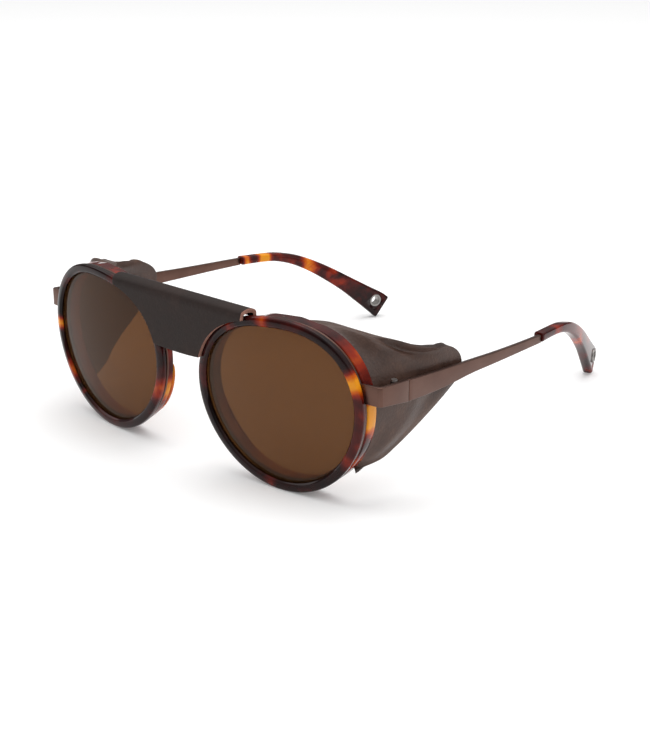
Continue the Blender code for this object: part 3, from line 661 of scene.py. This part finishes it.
# u runs from the tab on top (0) to the lower edge (1), v from the rim to the free edge
def sideShieldPoint(u, v):
    edgeRows = sideShield["edge"]
    degrees = edgeRows[0][0] + (edgeRows[-1][0] - edgeRows[0][0]) * u
    start = rimPoint(degrees, -sideShield["inset"] - rearEdge(degrees), sideShield["frontDepth"])
    end = Vector(smoothCurve(edgeRows, degrees))
    angle = math.radians(degrees)
    outward = Vector((math.cos(angle), 0.0, math.sin(angle)))
    swell = sideShield["swell"] * (end - start).length * v * (1.0 - v)
    folds = sum(height * bump(v, place, reach) * bump(degrees, middle, half)
                for height, place, reach, middle, half in sideShield["folds"])
    return start + (end - start) * v + outward * (swell + folds)


for side, label in sides:
    bm = gridSheet(sideShield["columns"], sideShield["rows"], sideShieldPoint)
    shield = finishPiece("sideLeather_" + label, bm, [sideLeather, darkEdge], None, side,
                         ["side_shield_" + label, "shield_tail_" + label],
                         solid=False, sharpAngle=180.0)
    thicken(shield, sideShield["thickness"], Vector((side, 0.0, 0.2)))
    applyModifiers(shield)  # applies the wall and the soft edge to the mesh
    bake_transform(shield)
print("leather made")


lug = {
    "rounding": 0.16,
    "path": (
        # outer x, outer y, inner x, inner y, middle z, half height
        (62.6, 8.95, 62.6, 9.75, 34.4, 2.7),
        (68.2, 9.55, 67.35, 10.85, 34.4, 2.7),
        (68.9, 10.5, 67.7, 11.4, 34.35, 2.75),
        (68.6, 21.8, 67.4, 21.8, 33.15, 3.15),
    ),
}


def lugShape():
    sections = []
    for outerX, outerY, innerX, innerY, middle, half in lug["path"]:
        sections.append([Vector((outerX, outerY, middle + half)),
                         Vector((outerX, outerY, middle - half)),
                         Vector((innerX, innerY, middle - half)),
                         Vector((innerX, innerY, middle + half))])
    bm = sweepSections(sections)
    roundEdges(bm, lug["rounding"], 3, 20.0)
    return bm


temple = {
    "thickness": 1.2, "rounding": 0.2,
    "stations": (
        # depth y, outer face x, top z, height of the strip
        (22.1, 68.5, 36.2, 6.2),
        (28.0, 68.2, 35.6, 6.0),
        (36.0, 67.8, 34.9, 5.6),
        (44.0, 67.5, 34.3, 4.9),
        (52.0, 67.1, 33.7, 4.1),
        (64.0, 66.6, 32.8, 3.4),
        (76.0, 66.0, 32.1, 2.9),
        (89.2, 65.1, 31.4, 2.5),
    ),
    "steps": 40,
}


def templeShape():
    stations = temple["stations"]
    first, last = stations[0][0], stations[-1][0]
    sections = []
    for step in range(temple["steps"] + 1):
        y = first + (last - first) * step / temple["steps"]
        x, top, height = smoothCurve(stations, y)
        inner = x - temple["thickness"]
        sections.append([Vector((x, y, top)), Vector((x, y, top - height)),
                         Vector((inner, y, top - height)), Vector((inner, y, top))])
    bm = sweepSections(sections)
    roundEdges(bm, temple["rounding"], 3, 40.0)
    return bm


tip = {
    "thickness": 3.4,
    "plan": (
        # depth y, outer face x
        (89.5, 65.7), (97.0, 64.4), (105.0, 63.0), (113.5, 60.9), (121.5, 58.4), (129.5, 55.5),
        (137.5, 52.4), (145.0, 49.5), (150.5, 47.4),
    ),
    "profile": (
        # top y, top z, bottom y, bottom z
        (89.5, 32.0, 89.5, 29.0), (97.0, 31.5, 96.6, 28.7), (104.0, 30.9, 102.8, 28.1),
        (109.5, 29.8, 107.4, 27.0), (115.0, 28.1, 112.0, 25.3), (121.5, 25.1, 117.6, 22.4),
        (128.0, 21.5, 123.6, 18.5), (136.0, 16.5, 131.2, 12.8), (143.0, 12.1, 137.6, 7.0),
        (147.6, 9.3, 142.2, 2.7), (149.9, 7.4, 144.9, 0.1),
    ),
    "steps": 60, "corner": 0.9, "cornerSteps": 4, "endRounding": 0.3,
    # depth y along the tip, half width, strength
    "amberLeft": ((100.0, 6.0, 0.25), (124.0, 8.0, 0.30), (134.0, 6.0, 0.20)),
    "amberRight": ((91.0, 2.6, 0.75), (98.5, 4.0, 0.95), (117.0, 4.5, 0.50), (127.0, 3.0, 0.35)),
}


def tipPlan(y):
    x = smoothCurve(tip["plan"], y)[0]
    before, after = smoothCurve(tip["plan"], y - 1.0)[0], smoothCurve(tip["plan"], y + 1.0)[0]
    lean = math.atan2(before - after, 2.0)
    return x, Vector((math.cos(lean), math.sin(lean), 0.0))


def tipShape():
    profile = tip["profile"]
    numbered = [(i / (len(profile) - 1), *row) for i, row in enumerate(profile)]
    sections = []
    for step in range(tip["steps"] + 1):
        topY, topZ, bottomY, bottomZ = smoothCurve(numbered, step / tip["steps"])
        topX, acrossTop = tipPlan(topY)
        bottomX, acrossBottom = tipPlan(bottomY)
        top, bottom = Vector((topX, topY, topZ)), Vector((bottomX, bottomY, bottomZ))
        upright = (top - bottom).normalized()
        corner = tip["corner"]
        innerTop = top - acrossTop * tip["thickness"]
        innerBottom = bottom - acrossBottom * tip["thickness"]
        section = []
        for point, sideways, rise in ((top, -acrossTop, -upright), (bottom, -acrossBottom, upright),
                                      (innerBottom, acrossBottom, upright),
                                      (innerTop, acrossTop, -upright)):
            arc = []
            for turn in range(tip["cornerSteps"] + 1):
                angle = math.pi / 2.0 * turn / tip["cornerSteps"]
                arc.append(point + sideways * corner * (1.0 - math.sin(angle))
                           + rise * corner * (1.0 - math.cos(angle)))
            if point is bottom or point is innerTop:
                arc.reverse()
            section += arc
        sections.append(section)
    bm = sweepSections(sections)
    roundEdges(bm, tip["endRounding"], 3, 50.0)
    return bm


eyelet = {
    "centre": Vector((48.3, 144.4, 6.7)), "axis": Vector((0.935, 0.355, 0.0)),
    "outer": 2.4, "hole": 1.6, "length": 3.5, "rounding": 0.18,
    "seatGap": 0.05, "seatLength": 12.0,  # the hole that is cut for it through the tip
}


# turns the eyelet's own axis to where it sits in the tip
def eyeletPlace():
    turn = eyelet["axis"].normalized().to_track_quat("Z", "Y").to_matrix().to_4x4()
    return Matrix.Translation(eyelet["centre"]) @ turn


def eyeletShape():
    half = eyelet["length"] / 2.0
    bm = spinSection([(eyelet["outer"], -half), (eyelet["outer"], half), (eyelet["hole"], half),
                      (eyelet["hole"], -half)], 64)
    roundEdges(bm, eyelet["rounding"], 3)
    bmesh.ops.transform(bm, matrix=eyeletPlace(), verts=bm.verts)
    return bm


# cuts the eyelet's seat through the tip and applies it
def cutHole(piece, bm, side):
    cutter = finishPiece("seatCutter", bm, [], None, side)
    hole = piece.modifiers.new("hole", "BOOLEAN")
    hole.operation = "DIFFERENCE"
    hole.solver = "EXACT"
    hole.object = cutter
    applyModifiers(piece)
    bpy.data.objects.remove(cutter)


def seatShape():
    bm = bmesh.new()
    radius = eyelet["outer"] + eyelet["seatGap"]
    bmesh.ops.create_cone(bm, cap_ends=True, segments=64, radius1=radius, radius2=radius,
                          depth=eyelet["seatLength"], matrix=eyeletPlace())
    return bm


for side, label in sides:
    finishPiece("lug_" + label, lugShape(), [bronze], "front", side,
                ["end_piece_" + label])
    finishPiece("templeStrip_" + label, templeShape(), [bronze], "temple_" + label, side,
                ["temple_" + label])
    piece = finishPiece("tipAcetate_" + label, tipShape(), [tipAcetate], "temple_" + label, side,
                        ["temple_tip_" + label])
    cutHole(piece, seatShape(), side)
    spots = tip["amberLeft" if side > 0 else "amberRight"]
    paintAmberAndLight(piece, lambda x, y, z: sum(s * bump(y, c, h) for c, h, s in spots))
    finishPiece("cordEyelet_" + label, eyeletShape(), [nickel], "temple_" + label, side,
                ["cord_eyelet_" + label])


tabScrew = {
    "radius": 0.55, "length": 1.5, "rounding": 0.08,
    "under": 0.05, "rise": 0.1,  # its head rises from a point just under the tab's face
}


def tabScrewShape():
    foot = rimPoint(90.0, rearRim["tabHeight"] - rearEdge(90.0) - tabScrew["under"],
                    (rearRim["front"] + rearRim["back"]) / 2.0)
    middle = foot + Vector((0.0, 0.0, tabScrew["rise"] - tabScrew["length"] / 2.0))
    bm = bmesh.new()
    bmesh.ops.create_cone(bm, cap_ends=True, segments=32, radius1=tabScrew["radius"],
                          radius2=tabScrew["radius"], depth=tabScrew["length"],
                          matrix=Matrix.Translation(middle))
    roundEdges(bm, tabScrew["rounding"], 3)
    return bm


for side, label in sides:
    finishPiece("tabScrew_" + label, tabScrewShape(), [darkBronze], "front", side,
                ["shield_screw_" + label])
for name, material in (("hinge_front_", darkBronze), ("hinge_rear_", darkBronze),
                       ("hinge_screw_", nickel), ("shield_rivet_", nickel)):
    for side, label in sides:
        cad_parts[name + label].material_slots[0].material = material
for name in ("bridge_bar", "brow_bar"):
    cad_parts[name].material_slots[0].material = darkBronze
print("metal made")


def makeStage():
    floorMesh = bpy.data.meshes.new("paleFloor")
    bm = bmesh.new()
    bmesh.ops.create_grid(bm, x_segments=1, y_segments=1, size=8.0)
    bm.to_mesh(floorMesh)
    bm.free()
    floor = bpy.data.objects.new("paleFloor", floorMesh)
    bpy.context.scene.collection.objects.link(floor)
    material, tree = newMaterial("palePaintedFloor")
    shader = node(tree, "BsdfPrincipled", None, {"Base Color": linear("#f4f4f4"),
                                                 "Roughness": 0.7, "Specular IOR Level": 0.1,
                                                 "Emission Color": linear("#ffffff"),
                                                 "Emission Strength": 0.12})
    output(tree, shader)
    floorMesh.materials.append(material)


def areaLight(name, place, target, size, power, colour="#ffffff"):
    data = bpy.data.lights.new(name, "AREA")
    data.shape = "RECTANGLE"
    data.size, data.size_y = size
    data.energy = power
    data.color = linear(colour)[:3]
    light = bpy.data.objects.new(name, data)
    light.location = place
    light.rotation_euler = (Vector(target) - Vector(place)).to_track_quat("-Z", "Y").to_euler()
    bpy.context.scene.collection.objects.link(light)


makeStage()
areaLight("overheadSoftbox", (0.0, 0.15, 1.0), (0.0, 0.0, 0.0), (1.0, 0.8), 5.0)
areaLight("leftSoftbox", (-0.9, -0.5, 0.6), (0.0, 0.0, 0.03), (0.6, 0.6), 1.6)
areaLight("rightSoftbox", (0.9, 0.3, 0.5), (0.0, 0.0, 0.03), (0.5, 0.6), 1.4)

world = bpy.data.worlds.new("paleStudio")
world.use_nodes = True
tree = world.node_tree
tree.nodes.clear()
direction = node(tree, "TexCoord")
height = node(tree, "SeparateXYZ", None, {0: (direction, "Generated")})
strength = node(tree, "MapRange", {"interpolation_type": "SMOOTHSTEP"},
                {"Value": (height, "Z"), "From Min": 0.0, "From Max": 0.95, "To Min": 0.12,
                 "To Max": 1.1})
sky = node(tree, "Background", None, {"Color": linear("#ffffff"),
                                      "Strength": (strength, "Result")})
node(tree, "OutputWorld", None, {"Surface": (sky, 0)})
bpy.context.scene.world = world
bpy.context.scene.view_settings.view_transform = "Standard"

yaw, pitch, roll = 0.73812, 0.34518, -0.00166  # radians: to the left of +Y, down, and tilted
ahead = Vector((-math.sin(yaw) * math.cos(pitch), math.cos(yaw) * math.cos(pitch),
                -math.sin(pitch)))
level = ahead.to_track_quat("-Z", "Y").to_matrix()
cameraTurn = (Matrix.Rotation(-roll, 3, ahead) @ level).to_euler()
cameraData = bpy.data.cameras.new("camera")
cameraData.sensor_fit = "VERTICAL"
cameraData.sensor_height = 36.0
cameraData.lens = 71.02
cameraData.shift_y = -0.0087
cameraData.clip_start = 0.01
camera = bpy.data.objects.new("camera", cameraData)
camera.location = (0.30141, -0.34240, 0.17282)
camera.rotation_euler = cameraTurn
bpy.context.scene.collection.objects.link(camera)
bpy.context.scene.camera = camera
